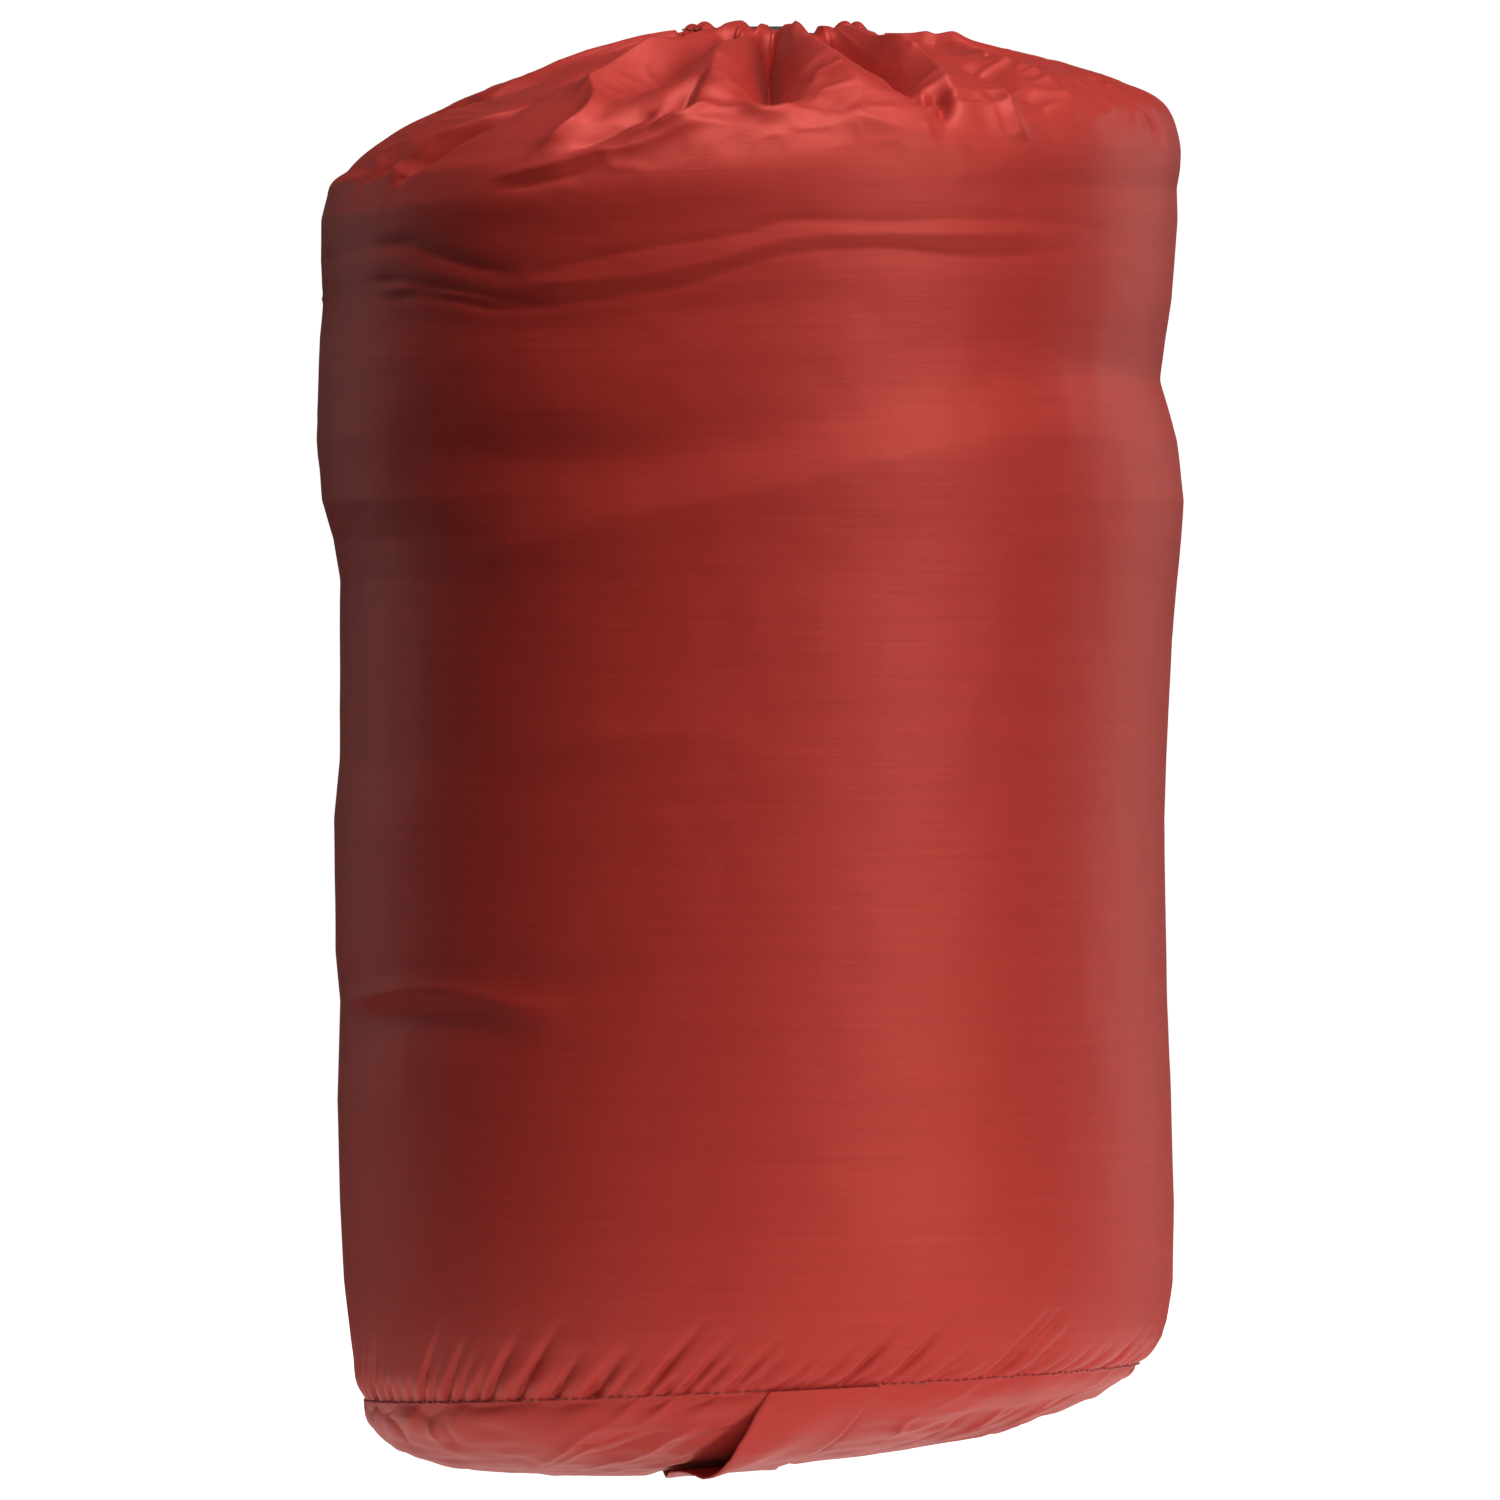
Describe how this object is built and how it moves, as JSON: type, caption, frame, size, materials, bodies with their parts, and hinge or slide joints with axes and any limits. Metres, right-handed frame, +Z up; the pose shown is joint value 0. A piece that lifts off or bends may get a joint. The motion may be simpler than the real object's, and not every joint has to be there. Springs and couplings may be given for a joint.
{
  "type": "sleeping bag in stuff sack",
  "caption": "Rectangular sleeping bag, folded, rolled and packed upright in its rust red drawstring stuff sack, with base strap, cord lock and hidden zipper",
  "frame": {"origin": "middle of the packed sack's footprint, on the surface it stands on", "axes": "+Z up along the sack, towards its gathered mouth; -Y is the front, +X to the right seen from the front"},
  "size_m": [0.2686, 0.277, 0.4545],
  "materials": {
    "sack_cloth": "rust red coated taffeta",
    "sack_thread": "rust red polyester thread",
    "binding_tape": "woven seam binding",
    "cord_cover": "braided dark grey cord",
    "lock_plastic": "moulded dark grey plastic",
    "spring_steel": "spring steel wire",
    "bag_cloth": "polyester taffeta",
    "fill": "polyester fibre fill",
    "liner_cloth": "brushed polyester liner",
    "zip_tape": "woven zipper tape",
    "zip_coil": "polyester coil",
    "zip_metal": "enamelled zinc",
    "stop_metal": "pressed metal",
    "tie_ribbon": "woven ribbon",
    "label_cloth": "white satin label, blank"
  },
  "bodies": {
    "sack": {"sack_side_panel": "sack_cloth", "sack_gathered_crown": "sack_cloth", "sack_base_panel": "sack_cloth", "base_strap": "sack_cloth", "side_seam_fell": "sack_cloth", "drawcord_channel": "sack_cloth", "base_seam_binding": "binding_tape", "base_seam_thread": "sack_thread", "side_seam_thread": "sack_thread", "channel_thread": "sack_thread", "drawcord_in_channel": "cord_cover", "drawcord_tail_left": "cord_cover", "drawcord_tail_right": "cord_cover", "tail_knot": "cord_cover", "bag_shell": "bag_cloth", "bag_insulation": "fill", "bag_liner": "liner_cloth", "zip_tape_upper": "zip_tape", "zip_tape_lower": "zip_tape", "zip_coil_upper": "zip_coil", "zip_coil_lower": "zip_coil", "zip_end_stops": "stop_metal", "roll_tie_lower": "tie_ribbon", "roll_tie_upper": "tie_ribbon", "care_label": "label_cloth"},
    "cord_lock": {"lock_barrel": "lock_plastic", "lock_spring": "spring_steel"},
    "lock_plunger": {"lock_plunger": "lock_plastic"},
    "zip_slider": {"zip_slider": "zip_metal"},
    "zip_pull": {"zip_pull": "zip_metal"}
  },
  "joints": [
    {"name": "cord_lock_slide", "type": "slide", "parent": "sack", "child": "cord_lock", "axis": [0, 1, 0], "range_m": [0, 0.02]},
    {"name": "lock_press", "type": "slide", "parent": "cord_lock", "child": "lock_plunger", "axis": [-1, 0, 0], "range_m": [0, 0.004], "stiffness_N_per_m": 600, "springref_m": -0.003, "deforming": ["lock_spring"]},
    {"name": "zip_slider_travel", "type": "hinge", "parent": "sack", "child": "zip_slider", "pos_m": [0, -0.006, 0.412], "axis": [0, 0, 1], "range_deg": [0, 135]},
    {"name": "zip_pull_flip", "type": "hinge", "parent": "zip_slider", "child": "zip_pull", "pos_m": [0.10641, 0.00518, 0.4179], "axis": [0.9945, 0.1045, 0], "range_deg": [0, 15]}
  ]
}
